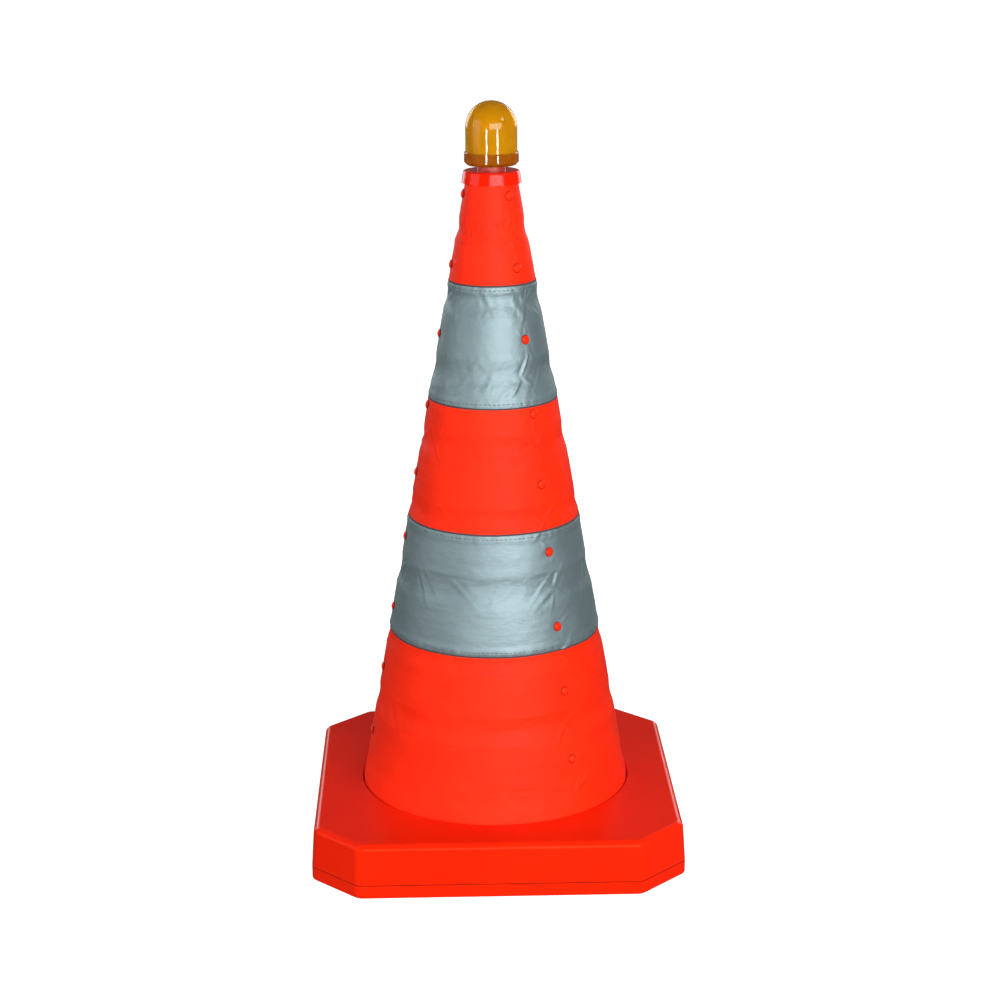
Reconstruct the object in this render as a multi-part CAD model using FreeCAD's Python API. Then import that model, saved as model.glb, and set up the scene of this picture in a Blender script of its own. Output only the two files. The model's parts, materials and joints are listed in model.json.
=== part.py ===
import FreeCAD, Part

import math
import os

# Collapsible traffic cone with a warning lamp. Millimetres, +Z up, origin at the centre of the
# footprint, on the ground. -Y is the front. A two-part hollow base carries a conical fabric
# sleeve, which a conical wire spring lifts. Eight rings are riveted inside the sleeve, one above
# the other, and the head at its top is a ninth, with a socket for the lamp. Pushed down, each
# ring sinks into the one below it, until all of them stand on the floor of the base.

# ---------------------------------------------------------------- driving dimensions

# Base
BASE_SIDE = 346.0
BASE_CHAMFER = 43.5
BASE_TOP = 52.0
PARTING_HEIGHT = 14.0
TOP_INSET = 2.5
TRAY_BOTTOM = 1.0
BASE_WALL = 3.0
CORNER_RADIUS = 12.0
TOP_EDGE_RADIUS = 6.5
PARTING_EDGE_RADIUS = 0.4
TRAY_EDGE_RADIUS = 2.0

# Sleeve: a straight cone from the top of the base to inside the collar
SLEEVE_BOTTOM_RADIUS = 127.7
SLEEVE_TOP = 628.0
SLEEVE_TOP_RADIUS = 24.2
FABRIC_THICKNESS = 0.4
SEAM_HEIGHTS = (205.0, 316.0, 429.0, 538.0)
PANEL_NAMES = (
    "sleeve_bottom_panel",
    "sleeve_lower_band",
    "sleeve_middle_panel",
    "sleeve_upper_band",
    "sleeve_top_panel",
)

# Support rings, by the heights of their rivets from the lowest ring up
RIVET_HEIGHTS = (103.0, 167.0, 227.0, 296.0, 358.0, 422.0, 489.0, 553.0)
RING_BELOW_RIVET = 18.0
RING_ABOVE_RIVET = 20.0
RING_WALL = 1.6
RING_BEAD = 0.4
RING_BEAD_HEIGHT = 2.0
RING_GAP = 0.2

# Rivets: three columns up the sleeve
RIVET_ANGLES = (-54.0, 66.0, 186.0)
RIVET_HEAD_RADIUS = 4.4
RIVET_HEAD_HEIGHT = 1.9
RIVET_SHANK_RADIUS = 1.6
RIVET_TAIL_RADIUS = 2.9
RIVET_TAIL_HEIGHT = 1.2
RIVET_SEAT_GAP = 0.15
RIVET_TAIL_GAP = 0.25

# Hoop that clamps the sleeve's hem in the round opening of the base
OPENING_RADIUS = 128.4
RIM_DEPTH = 10.0
RIM_THICKNESS = 6.0
HOOP_OUTER_RADIUS = 127.2
HOOP_THICKNESS = 3.0
HEM_SCREW_COUNT = 8
HEM_SCREW_HEAD_RADIUS = 2.6
HEM_SCREW_HEAD_HEIGHT = 1.6
HEM_SCREW_SHANK_RADIUS = 1.4
HEM_SCREW_LENGTH = 7.0

# Tray details
TRAY_RIB_INNER_RADIUS = 136.0
TRAY_RIB_TOP = 12.0
TRAY_RIB_THICKNESS = 2.0
TRAY_RIB_COUNT = 8
CORNER_SCREW_OFFSET = 128.0
SIDE_SCREW_OFFSET = 155.0
TRAY_PAD_RADIUS = 6.5
TRAY_PAD_TOP = 8.0
BOSS_RADIUS = 5.0
TRAY_SCREW_HEAD_RADIUS = 3.7
TRAY_SCREW_SHANK_RADIUS = 2.0
TRAY_SCREW_HEAD_BOTTOM = 1.6
TRAY_SCREW_HEAD_TOP = 4.2
TRAY_SCREW_TOP = 26.0
FOOT_RADIUS = 15.0
FOOT_OFFSET = 108.0
FOOT_TOP = 2.0

# Lift spring: a conical coil between the tray and the head
SPRING_WIRE_RADIUS = 1.25
SPRING_BOTTOM_RADIUS = 100.0
SPRING_TOP_RADIUS = 18.0
SPRING_TURNS = 9
RUNS_PER_TURN = 16
SPRING_SEAT_WALL = 1.5

# Head
HEAD_SKIRT_BOTTOM = 597.0
HEAD_RIVET_HEIGHT = 617.0
HEAD_FLANGE_BOTTOM = 622.5
HEAD_FLANGE_TOP = 626.0
HEAD_HUB_TOP = 635.5
HEAD_HUB_RADIUS = 22.0
SOCKET_BORE_RADIUS = 13.1
SOCKET_WALL = 2.4
SOCKET_BOTTOM = 600.0
COLLAR_BOTTOM = 626.7
COLLAR_TOP = 637.8
COLLAR_BOTTOM_RADIUS = 27.4
COLLAR_TOP_RADIUS = 25.6
COLLAR_WALL = 1.6
COLLAR_EDGE_RADIUS = 2.0

# Lamp
LAMP_TUBE_RADIUS = 12.9
LAMP_TUBE_BORE = 11.1
LAMP_TUBE_BOTTOM = 598.0
LAMP_TUBE_TOP = 650.0
LAMP_FLANGE_RADIUS = 20.8
LAMP_FLANGE_BOTTOM = 642.6
LAMP_FLANGE_TOP = 646.0
CAP_TOP = 601.5
CELL_RADIUS = 5.2
CELL_OFFSET = 5.35
CELL_BOTTOM = 604.0
CELL_BODY_TOP = 647.2
CELL_NUB_RADIUS = 1.9
CELL_TOP = 648.3
CONTACT_THICKNESS = 0.6
CONTACT_WIRE_RADIUS = 0.35
CONTACT_COIL_RADIUS = 3.0
CONTACT_COIL_TURNS = 2
BOARD_RADIUS = 16.0
BOARD_THICKNESS = 1.6
LED_RADIUS = 2.5
LED_HEIGHT = 6.5
LED_RING_RADIUS = 8.0
LED_COUNT = 3
GRIP_RING_HEIGHT = 613.0
GRIP_RING_SECTION = 0.58
LAMP_SEAL_HEIGHT = 644.3
LAMP_SEAL_SECTION = 0.7

# Lens
LENS_BOTTOM_RADIUS = 22.1
LENS_FLANGE_RADIUS = 24.8
LENS_FLANGE_LOW = 645.4
LENS_FLANGE_HIGH = 653.4
LENS_FLANGE_TOP = 654.2
LENS_RADIUS = 23.5
LENS_TOP = 700.0
LENS_WALL = 2.0
LENS_SKIRT_BORE = 21.1
LENS_LEDGE_BORE = 19.8
LENS_LEDGE_TOP = 647.6
LENS_CLEARANCE = 0.1
LENS_SHOULDER = LENS_TOP - LENS_RADIUS

# ---------------------------------------------------------------- derived sizes

ORIGIN = FreeCAD.Vector(0, 0, 0)
UP = FreeCAD.Vector(0, 0, 1)
HALF_SIDE = BASE_SIDE / 2
TRAY_FLOOR = TRAY_BOTTOM + BASE_WALL
SLEEVE_SLOPE = (SLEEVE_BOTTOM_RADIUS - SLEEVE_TOP_RADIUS) / (SLEEVE_TOP - BASE_TOP)
SLEEVE_LEAN = math.degrees(math.atan(SLEEVE_SLOPE))
RIM_BOTTOM = BASE_TOP - RIM_DEPTH
HEM_SCREW_HEIGHT = RIM_BOTTOM + 4.0
SPRING_BOTTOM = TRAY_FLOOR + SPRING_WIRE_RADIUS + 0.1
SPRING_TOP = HEAD_FLANGE_BOTTOM - SPRING_WIRE_RADIUS - 0.3


def sleeve_radius(height):
    """Outer radius of the sleeve."""
    return SLEEVE_BOTTOM_RADIUS - SLEEVE_SLOPE * (height - BASE_TOP)


def ring_radius(height):
    """Outer radius of a support ring, which stands just clear of the fabric."""
    return sleeve_radius(height) - FABRIC_THICKNESS - RING_GAP


# ---------------------------------------------------------------- shapes


def turned(outline):
    """Solid turned about Z from a closed outline of (radius, height) corners."""
    corners = [FreeCAD.Vector(radius, 0, height) for radius, height in outline]
    face = Part.Face(Part.makePolygon(corners + [corners[0]]))
    return face.revolve(ORIGIN, UP, 360)


def tube(outer, inner, low, high):
    """Upright tube about Z."""
    return turned([(inner, low), (outer, low), (outer, high), (inner, high)])


def post(radius, low, high, x=0.0, y=0.0):
    """Upright cylinder."""
    return Part.makeCylinder(radius, high - low, FreeCAD.Vector(x, y, low))


def polar(radius, degrees):
    """X and Y of a point at a radius and an angle from +X."""
    return radius * math.cos(math.radians(degrees)), radius * math.sin(math.radians(degrees))


def octagon(half, chamfer, height):
    """Square outline with its four corners cut off."""
    short = half - chamfer
    corners = [
        (half, -short), (half, short), (short, half), (-short, half),
        (-half, short), (-half, -short), (-short, -half), (short, -half),
    ]
    points = [FreeCAD.Vector(x, y, height) for x, y in corners]
    return Part.makePolygon(points + [points[0]])


def drafted_block(inset_low, inset_high, low, high):
    """Block between two octagons, each the base's outline moved in by an inset."""
    outlines = []
    for inset, height in ((inset_low, low), (inset_high, high)):
        chamfer = BASE_CHAMFER - (2 - math.sqrt(2)) * inset
        outlines.append(octagon(HALF_SIDE - inset, chamfer, height))
    return Part.makeLoft(outlines, True, True)


def edges_at(shape, height):
    """Edges that lie wholly at one height."""
    return [e for e in shape.Edges if all(abs(v.Z - height) < 0.01 for v in e.Vertexes)]


def upright_edges(shape):
    """Edges that join the bottom to the top."""
    box = shape.BoundBox
    return [e for e in shape.Edges if abs(e.BoundBox.ZLength - box.ZLength) < 0.01]


def rounded_block(inset_low, inset_high, low, high, low_radius, high_radius):
    """Drafted block with rounded corners, a rounded bottom edge and a rounded top edge."""
    block = drafted_block(inset_low, inset_high, low, high)
    block = block.makeFillet(CORNER_RADIUS, upright_edges(block))
    block = block.makeFillet(high_radius, edges_at(block, high))
    return block.makeFillet(low_radius, edges_at(block, low))


def cut_all(shape, tools):
    """Shape less every tool."""
    return shape.cut(Part.makeCompound(tools))


def fuse_all(first, others):
    """One solid of several that touch."""
    return first.multiFuse(others).removeSplitter()


def square_to_sleeve(shape, angle, radius, height):
    """Moves a shape made about +X at the origin to stand square to the sleeve's surface."""
    placed = shape.copy()
    placed.rotate(ORIGIN, FreeCAD.Vector(0, 1, 0), -SLEEVE_LEAN)
    placed.translate(FreeCAD.Vector(radius, 0, height))
    placed.rotate(ORIGIN, UP, angle)
    return placed


def cross_rod(radius, low, high):
    """Cylinder along +X between two distances from the origin."""
    return Part.makeCylinder(radius, high - low, FreeCAD.Vector(low, 0, 0), FreeCAD.Vector(1, 0, 0))


def coil_of_wire(radii, heights, turns, wire_radius):
    """Coil of round wire in short straight runs, from the first radius and height to the second."""
    runs = turns * RUNS_PER_TURN
    points = []
    for i in range(runs + 1):
        along = i / runs
        x, y = polar(radii[0] + (radii[1] - radii[0]) * along, 360 * turns * along)
        points.append(FreeCAD.Vector(x, y, heights[0] + (heights[1] - heights[0]) * along))
    section = Part.Wire(Part.makeCircle(wire_radius, points[0], points[1] - points[0]))
    mitred = 1
    return Part.makePolygon(points).makePipeShell([section], True, False, mitred)


def save(name, shape):
    """Writes one node."""
    shape.exportStep(os.path.join("parts", name + ".step"))


# ---------------------------------------------------------------- base


def tray_screw_places():
    """X and Y of the eight screws that hold the tray to the shell."""
    c = CORNER_SCREW_OFFSET
    s = SIDE_SCREW_OFFSET
    return [(c, c), (-c, c), (-c, -c), (c, -c), (s, 0), (0, s), (-s, 0), (0, -s)]


def hem_screw_angles():
    """Angles of the screws that hold the hem hoop, clear of the rivet columns."""
    return [22.5 + 360 / HEM_SCREW_COUNT * i for i in range(HEM_SCREW_COUNT)]


def across_hoop(shape):
    """Copies of a shape made along +X, one at each hem screw."""
    copies = []
    for angle in hem_screw_angles():
        copy = shape.copy()
        copy.translate(FreeCAD.Vector(0, 0, HEM_SCREW_HEIGHT))
        copy.rotate(ORIGIN, UP, angle)
        copies.append(copy)
    return copies


def make_base_shell():
    """Upper half of the base: a hollow cover with a thick rim round its opening."""
    outer = rounded_block(0, TOP_INSET, PARTING_HEIGHT, BASE_TOP, PARTING_EDGE_RADIUS, TOP_EDGE_RADIUS)
    hollow = drafted_block(BASE_WALL, TOP_INSET + BASE_WALL, PARTING_HEIGHT - 1, BASE_TOP - BASE_WALL)
    rim = tube(OPENING_RADIUS + RIM_THICKNESS, OPENING_RADIUS - 1, RIM_BOTTOM, BASE_TOP - 0.5)
    bosses = [post(BOSS_RADIUS, TRAY_PAD_TOP + 0.1, BASE_TOP - 1, x, y) for x, y in tray_screw_places()]
    shell = fuse_all(outer.cut(hollow), [rim] + bosses)
    opening = turned([
        (0, RIM_BOTTOM - 1), (OPENING_RADIUS, RIM_BOTTOM - 1), (OPENING_RADIUS, BASE_TOP - 1.0),
        (OPENING_RADIUS + 1.0, BASE_TOP + 0.1), (OPENING_RADIUS + 1.0, BASE_TOP + 1), (0, BASE_TOP + 1),
    ])
    pilots = [
        post(TRAY_SCREW_SHANK_RADIUS + 0.05, TRAY_PAD_TOP - 1, TRAY_SCREW_TOP + 1, x, y)
        for x, y in tray_screw_places()
    ]
    hem_pilots = across_hoop(cross_rod(HEM_SCREW_SHANK_RADIUS + 0.05, OPENING_RADIUS - 2, OPENING_RADIUS + 4))
    return cut_all(shell, [opening] + pilots + hem_pilots)


def make_base_tray():
    """Lower half of the base: a floor with a rim, ribs and a seat for the spring."""
    outer = rounded_block(0, 0, TRAY_BOTTOM, PARTING_HEIGHT, TRAY_EDGE_RADIUS, PARTING_EDGE_RADIUS)
    hollow = drafted_block(BASE_WALL, BASE_WALL, TRAY_FLOOR, PARTING_HEIGHT + 1)
    seat_reach = SPRING_WIRE_RADIUS + 3.0
    seats = [
        tube(radius + SPRING_SEAT_WALL, radius, TRAY_FLOOR - 1, TRAY_FLOOR + 2 * SPRING_WIRE_RADIUS)
        for radius in (SPRING_BOTTOM_RADIUS - seat_reach - SPRING_SEAT_WALL, SPRING_BOTTOM_RADIUS + seat_reach)
    ]
    ribs = []
    for i in range(TRAY_RIB_COUNT):
        rib = Part.makeBox(
            HALF_SIDE - TRAY_RIB_INNER_RADIUS - BASE_WALL / 2,
            TRAY_RIB_THICKNESS,
            TRAY_RIB_TOP - TRAY_FLOOR + 1,
            FreeCAD.Vector(TRAY_RIB_INNER_RADIUS, -TRAY_RIB_THICKNESS / 2, TRAY_FLOOR - 1),
        )
        rib.rotate(ORIGIN, UP, 360 / TRAY_RIB_COUNT * (i + 0.5))
        ribs.append(rib)
    pads = [post(TRAY_PAD_RADIUS, TRAY_FLOOR - 1, TRAY_PAD_TOP, x, y) for x, y in tray_screw_places()]
    tray = fuse_all(outer.cut(hollow), seats + ribs + pads)
    holes = []
    for x, y in tray_screw_places():
        holes.append(post(TRAY_SCREW_SHANK_RADIUS + 0.3, TRAY_BOTTOM - 1, TRAY_PAD_TOP + 1, x, y))
        holes.append(post(TRAY_SCREW_HEAD_RADIUS + 0.5, TRAY_BOTTOM - 1, TRAY_SCREW_HEAD_TOP, x, y))
    pockets = [post(FOOT_RADIUS + 0.2, TRAY_BOTTOM - 1, FOOT_TOP, x, y) for x, y in foot_places()]
    return cut_all(tray, holes + pockets)


def foot_places():
    """X and Y of the four rubber feet."""
    return [(sx * FOOT_OFFSET, sy * FOOT_OFFSET) for sx in (1, -1) for sy in (1, -1)]


def make_base_feet():
    """Four rubber pads set into the tray, proud of it by a millimetre."""
    feet = []
    for x, y in foot_places():
        foot = post(FOOT_RADIUS, 0, FOOT_TOP, x, y)
        feet.append(foot.makeFillet(0.6, edges_at(foot, 0)))
    return Part.makeCompound(feet)


def make_tray_screws():
    """Eight pan-head screws, driven up through the tray into the shell's bosses."""
    screws = []
    for x, y in tray_screw_places():
        head = post(TRAY_SCREW_HEAD_RADIUS, TRAY_SCREW_HEAD_BOTTOM, TRAY_SCREW_HEAD_TOP, x, y)
        shank = post(TRAY_SCREW_SHANK_RADIUS, TRAY_SCREW_HEAD_TOP - 0.5, TRAY_SCREW_TOP, x, y)
        slot_long = Part.makeBox(4.4, 1.0, 1.2, FreeCAD.Vector(x - 2.2, y - 0.5, TRAY_SCREW_HEAD_BOTTOM - 0.1))
        slot_cross = Part.makeBox(1.0, 4.4, 1.2, FreeCAD.Vector(x - 0.5, y - 2.2, TRAY_SCREW_HEAD_BOTTOM - 0.1))
        screws.append(cut_all(fuse_all(head, [shank]), [slot_long, slot_cross]))
    return Part.makeCompound(screws)


def make_hem_hoop():
    """Hoop that presses the sleeve's hem against the wall of the opening."""
    hoop = tube(HOOP_OUTER_RADIUS, HOOP_OUTER_RADIUS - HOOP_THICKNESS, RIM_BOTTOM, BASE_TOP - 1)
    holes = across_hoop(
        cross_rod(HEM_SCREW_SHANK_RADIUS + 0.1, HOOP_OUTER_RADIUS - 5, HOOP_OUTER_RADIUS + 1)
    )
    return cut_all(hoop, holes)


def make_hem_screws():
    """Eight small screws through the hoop and the hem into the rim."""
    seat = HOOP_OUTER_RADIUS - HOOP_THICKNESS - RIVET_TAIL_GAP
    head = cross_rod(HEM_SCREW_HEAD_RADIUS, seat - HEM_SCREW_HEAD_HEIGHT, seat)
    shank = cross_rod(HEM_SCREW_SHANK_RADIUS, seat - 0.5, seat + HEM_SCREW_LENGTH)
    return Part.makeCompound(across_hoop(fuse_all(head, [shank])))


# ---------------------------------------------------------------- sleeve and spring


def rivet_holes():
    """Rods through the sleeve at every rivet."""
    rod = cross_rod(RIVET_SHANK_RADIUS + 0.4, -4, 4)
    holes = []
    for height in RIVET_HEIGHTS + (HEAD_RIVET_HEIGHT,):
        for angle in RIVET_ANGLES:
            holes.append(square_to_sleeve(rod, angle, sleeve_radius(height), height))
    return holes


def make_sleeve_panel(low, high):
    """One sewn panel of the sleeve, with its rivet holes."""
    panel = turned([
        (sleeve_radius(low) - FABRIC_THICKNESS, low), (sleeve_radius(low), low),
        (sleeve_radius(high), high), (sleeve_radius(high) - FABRIC_THICKNESS, high),
    ])
    inside = [hole for hole in rivet_holes() if low < hole.BoundBox.Center.z < high]
    return cut_all(panel, inside)


def make_bottom_panel():
    """Lowest panel, with a straight hem that hangs inside the opening of the base."""
    hem_outer = OPENING_RADIUS - 0.3
    hem_inner = HOOP_OUTER_RADIUS + 0.1
    hem_top = BASE_TOP - 0.5
    hem = tube(hem_outer, hem_inner, RIM_BOTTOM, hem_top)
    turn = turned([
        (hem_inner, hem_top - 0.5), (hem_outer, hem_top - 0.5),
        (sleeve_radius(BASE_TOP + 1), BASE_TOP + 1),
        (sleeve_radius(BASE_TOP + 1) - FABRIC_THICKNESS, BASE_TOP + 1),
    ])
    panel = fuse_all(make_sleeve_panel(BASE_TOP + 0.9, SEAM_HEIGHTS[0]), [turn, hem])
    return cut_all(panel, across_hoop(cross_rod(HEM_SCREW_SHANK_RADIUS + 0.2, 120, 135)))


def make_lift_spring():
    """Conical compression spring between the tray and the head."""
    return coil_of_wire((SPRING_BOTTOM_RADIUS, SPRING_TOP_RADIUS), (SPRING_BOTTOM, SPRING_TOP),
                        SPRING_TURNS, SPRING_WIRE_RADIUS)


# ---------------------------------------------------------------- support rings


def make_support_ring(rivet_height):
    """Moulded ring, as conical as the sleeve, with a bead inside each edge."""
    low = rivet_height - RING_BELOW_RIVET
    high = rivet_height + RING_ABOVE_RIVET
    bead_inner = RING_WALL + RING_BEAD
    wall_low = low + 2 * RING_BEAD_HEIGHT
    wall_high = high - 2 * RING_BEAD_HEIGHT
    ring = turned([
        (ring_radius(low), low), (ring_radius(high), high),
        (ring_radius(high) - bead_inner, high),
        (ring_radius(high - RING_BEAD_HEIGHT) - bead_inner, high - RING_BEAD_HEIGHT),
        (ring_radius(wall_high) - RING_WALL, wall_high), (ring_radius(wall_low) - RING_WALL, wall_low),
        (ring_radius(low + RING_BEAD_HEIGHT) - bead_inner, low + RING_BEAD_HEIGHT),
        (ring_radius(low) - bead_inner, low),
    ])
    hole = cross_rod(RIVET_SHANK_RADIUS + 0.1, -6, 4)
    holes = [square_to_sleeve(hole, a, sleeve_radius(rivet_height), rivet_height) for a in RIVET_ANGLES]
    return cut_all(ring, holes)


def make_rivet():
    """Rivet along +X: domed head outside the fabric, shank, and a flat tail inside the ring."""
    head_low = RIVET_SEAT_GAP
    tail_high = -(FABRIC_THICKNESS + RING_GAP + RING_WALL) - RIVET_TAIL_GAP
    tail_low = tail_high - RIVET_TAIL_HEIGHT
    ball_radius = (RIVET_HEAD_RADIUS ** 2 + RIVET_HEAD_HEIGHT ** 2) / (2 * RIVET_HEAD_HEIGHT)
    centre = head_low + RIVET_HEAD_HEIGHT - ball_radius
    ball = Part.makeSphere(ball_radius, FreeCAD.Vector(centre, 0, 0))
    head = ball.common(cross_rod(RIVET_HEAD_RADIUS + 1, head_low, head_low + RIVET_HEAD_HEIGHT + 1))
    shank = cross_rod(RIVET_SHANK_RADIUS, tail_low + 0.2, head_low + 0.4)
    tail = cross_rod(RIVET_TAIL_RADIUS, tail_low, tail_high)
    return fuse_all(head, [shank, tail])


def make_rivets(rivet_height):
    """The three rivets of one ring."""
    rivet = make_rivet()
    radius = sleeve_radius(rivet_height)
    return Part.makeCompound([square_to_sleeve(rivet, a, radius, rivet_height) for a in RIVET_ANGLES])


# ---------------------------------------------------------------- head


def make_head_socket():
    """Top ring of the cone with a flange, a hub for the collar and a bore for the lamp."""
    skirt_bottom = ring_radius(HEAD_SKIRT_BOTTOM)
    skirt_top = ring_radius(HEAD_FLANGE_TOP)
    socket_outer = SOCKET_BORE_RADIUS + SOCKET_WALL
    body = turned([
        (SOCKET_BORE_RADIUS, SOCKET_BOTTOM), (socket_outer, SOCKET_BOTTOM),
        (socket_outer, HEAD_FLANGE_BOTTOM),
        (ring_radius(HEAD_FLANGE_BOTTOM) - RING_WALL, HEAD_FLANGE_BOTTOM),
        (skirt_bottom - RING_WALL, HEAD_SKIRT_BOTTOM), (skirt_bottom, HEAD_SKIRT_BOTTOM),
        (skirt_top, HEAD_FLANGE_TOP), (HEAD_HUB_RADIUS, HEAD_FLANGE_TOP),
        (HEAD_HUB_RADIUS, HEAD_HUB_TOP), (SOCKET_BORE_RADIUS, HEAD_HUB_TOP),
    ])
    hole = cross_rod(RIVET_SHANK_RADIUS + 0.1, -6, 4)
    radius = sleeve_radius(HEAD_RIVET_HEIGHT)
    return cut_all(body, [square_to_sleeve(hole, a, radius, HEAD_RIVET_HEIGHT) for a in RIVET_ANGLES])


def make_head_collar():
    """Glossy cap over the top of the sleeve, with a straight skirt that flares downwards."""
    collar = turned([
        (SOCKET_BORE_RADIUS, HEAD_HUB_TOP + 0.1), (COLLAR_TOP_RADIUS - COLLAR_WALL, HEAD_HUB_TOP + 0.1),
        (COLLAR_BOTTOM_RADIUS - COLLAR_WALL, COLLAR_BOTTOM), (COLLAR_BOTTOM_RADIUS, COLLAR_BOTTOM),
        (COLLAR_TOP_RADIUS, COLLAR_TOP), (SOCKET_BORE_RADIUS, COLLAR_TOP),
    ])
    rim = [e for e in edges_at(collar, COLLAR_TOP) if e.BoundBox.XLength > 2 * COLLAR_TOP_RADIUS - 1]
    return collar.makeFillet(COLLAR_EDGE_RADIUS, rim)


# ---------------------------------------------------------------- lamp


def ring_of_cord(radius, section, height):
    """O-ring about Z."""
    return Part.makeTorus(radius, section, FreeCAD.Vector(0, 0, height))


def make_lamp_housing():
    """Battery tube with a flange that closes the lens, and grooves for its two O-rings."""
    flange_edge = 0.8
    housing = turned([
        (LAMP_TUBE_BORE, LAMP_TUBE_BOTTOM), (LAMP_TUBE_RADIUS, LAMP_TUBE_BOTTOM),
        (LAMP_TUBE_RADIUS, LAMP_FLANGE_BOTTOM), (LAMP_FLANGE_RADIUS - flange_edge, LAMP_FLANGE_BOTTOM),
        (LAMP_FLANGE_RADIUS, LAMP_FLANGE_BOTTOM + flange_edge), (LAMP_FLANGE_RADIUS, LAMP_FLANGE_TOP),
        (LAMP_TUBE_RADIUS, LAMP_FLANGE_TOP), (LAMP_TUBE_RADIUS, LAMP_TUBE_TOP),
        (LAMP_TUBE_BORE, LAMP_TUBE_TOP),
    ])
    grip_groove = tube(LAMP_TUBE_RADIUS + 1, LAMP_TUBE_RADIUS - 1.15,
                       GRIP_RING_HEIGHT - GRIP_RING_SECTION - 0.2, GRIP_RING_HEIGHT + GRIP_RING_SECTION + 0.2)
    seal_groove = tube(LAMP_FLANGE_RADIUS + 1, LAMP_FLANGE_RADIUS - 1.35,
                       LAMP_SEAL_HEIGHT - LAMP_SEAL_SECTION - 0.1, LAMP_SEAL_HEIGHT + LAMP_SEAL_SECTION + 0.1)
    return cut_all(housing, [grip_groove, seal_groove])


def make_lamp_grip_ring():
    """Rubber ring that holds the battery tube in the socket."""
    return ring_of_cord(LAMP_TUBE_RADIUS - 0.48, GRIP_RING_SECTION, GRIP_RING_HEIGHT)


def make_lamp_seal():
    """Rubber ring between the lamp's flange and the lens."""
    return ring_of_cord(LAMP_FLANGE_RADIUS - 0.55, LAMP_SEAL_SECTION, LAMP_SEAL_HEIGHT)


def make_battery_cap():
    """Plug that closes the battery tube, with a coin slot."""
    cap = post(LAMP_TUBE_BORE - 0.1, LAMP_TUBE_BOTTOM, CAP_TOP)
    slot = Part.makeBox(14.0, 1.8, 1.4, FreeCAD.Vector(-7.0, -0.9, LAMP_TUBE_BOTTOM - 0.1))
    return cap.cut(slot)


def make_battery_cells():
    """Two AAA cells side by side."""
    cells = []
    for x in (-CELL_OFFSET, CELL_OFFSET):
        body = post(CELL_RADIUS, CELL_BOTTOM, CELL_BODY_TOP, x)
        nub = post(CELL_NUB_RADIUS, CELL_BODY_TOP - 0.2, CELL_TOP, x)
        cells.append(fuse_all(body, [nub]))
    return Part.makeCompound(cells)


def make_battery_springs():
    """Two contact springs that press the cells up."""
    low = CAP_TOP + CONTACT_WIRE_RADIUS + 0.1
    high = CELL_BOTTOM - CONTACT_WIRE_RADIUS - 0.1
    spring = coil_of_wire((CONTACT_COIL_RADIUS, CONTACT_COIL_RADIUS), (low, high),
                          CONTACT_COIL_TURNS, CONTACT_WIRE_RADIUS)
    return Part.makeCompound([spring.translated(FreeCAD.Vector(x, 0, 0)) for x in (-CELL_OFFSET, CELL_OFFSET)])


def make_contact_plate():
    """Strip that joins the two cells at the top."""
    return post(LAMP_TUBE_BORE - 0.2, CELL_TOP + 0.05, CELL_TOP + 0.05 + CONTACT_THICKNESS)


def make_led_board():
    """Round circuit board on the end of the battery tube."""
    return post(BOARD_RADIUS, LAMP_TUBE_TOP + 0.05, LAMP_TUBE_TOP + 0.05 + BOARD_THICKNESS)


def make_leds():
    """Three round-nosed LEDs on the board."""
    low = LAMP_TUBE_TOP + BOARD_THICKNESS + 0.1
    leds = []
    for i in range(LED_COUNT):
        x, y = polar(LED_RING_RADIUS, 90 + 360 / LED_COUNT * i)
        body = post(LED_RADIUS, low, low + LED_HEIGHT - LED_RADIUS, x, y)
        nose = Part.makeSphere(LED_RADIUS, FreeCAD.Vector(x, y, low + LED_HEIGHT - LED_RADIUS))
        rim = post(LED_RADIUS + 0.4, low, low + 1.0, x, y)
        leds.append(fuse_all(body, [nose, rim]))
    return Part.makeCompound(leds)


def make_flasher_chip():
    """Flasher circuit in the middle of the board."""
    low = LAMP_TUBE_TOP + BOARD_THICKNESS + 0.1
    return Part.makeBox(5.0, 4.0, 1.7, FreeCAD.Vector(-2.5, -2.0, low))


def make_lens():
    """Hollow domed lens with a thick flange, which turns on the lamp's flange."""
    inner_radius = LENS_RADIUS - LENS_WALL
    outline = [
        (LENS_SKIRT_BORE, LAMP_FLANGE_BOTTOM), (LENS_BOTTOM_RADIUS, LAMP_FLANGE_BOTTOM),
        (LENS_FLANGE_RADIUS, LENS_FLANGE_LOW), (LENS_FLANGE_RADIUS, LENS_FLANGE_HIGH),
        (LENS_FLANGE_RADIUS - 0.5, LENS_FLANGE_TOP), (LENS_RADIUS, LENS_FLANGE_TOP),
        (LENS_RADIUS, LENS_SHOULDER),
    ]
    inside = [
        (inner_radius, LENS_SHOULDER), (inner_radius, LENS_LEDGE_TOP + 1),
        (LENS_LEDGE_BORE, LENS_LEDGE_TOP), (LENS_LEDGE_BORE, LAMP_FLANGE_TOP + LENS_CLEARANCE),
        (LENS_SKIRT_BORE, LAMP_FLANGE_TOP + LENS_CLEARANCE), (LENS_SKIRT_BORE, LAMP_FLANGE_BOTTOM),
    ]
    edges = straight_edges(outline)
    edges.append(quarter_arc(LENS_RADIUS))
    edges.extend(straight_edges([(0, LENS_TOP), (0, LENS_TOP - LENS_WALL)]))
    edges.append(quarter_arc(inner_radius))
    edges.extend(straight_edges(inside))
    face = Part.Face(Part.Wire(Part.__sortEdges__(edges)))
    return face.revolve(ORIGIN, UP, 360)


def straight_edges(outline):
    """Straight edges through (radius, height) points."""
    points = [FreeCAD.Vector(radius, 0, height) for radius, height in outline]
    return [Part.LineSegment(a, b).toShape() for a, b in zip(points, points[1:])]


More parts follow.
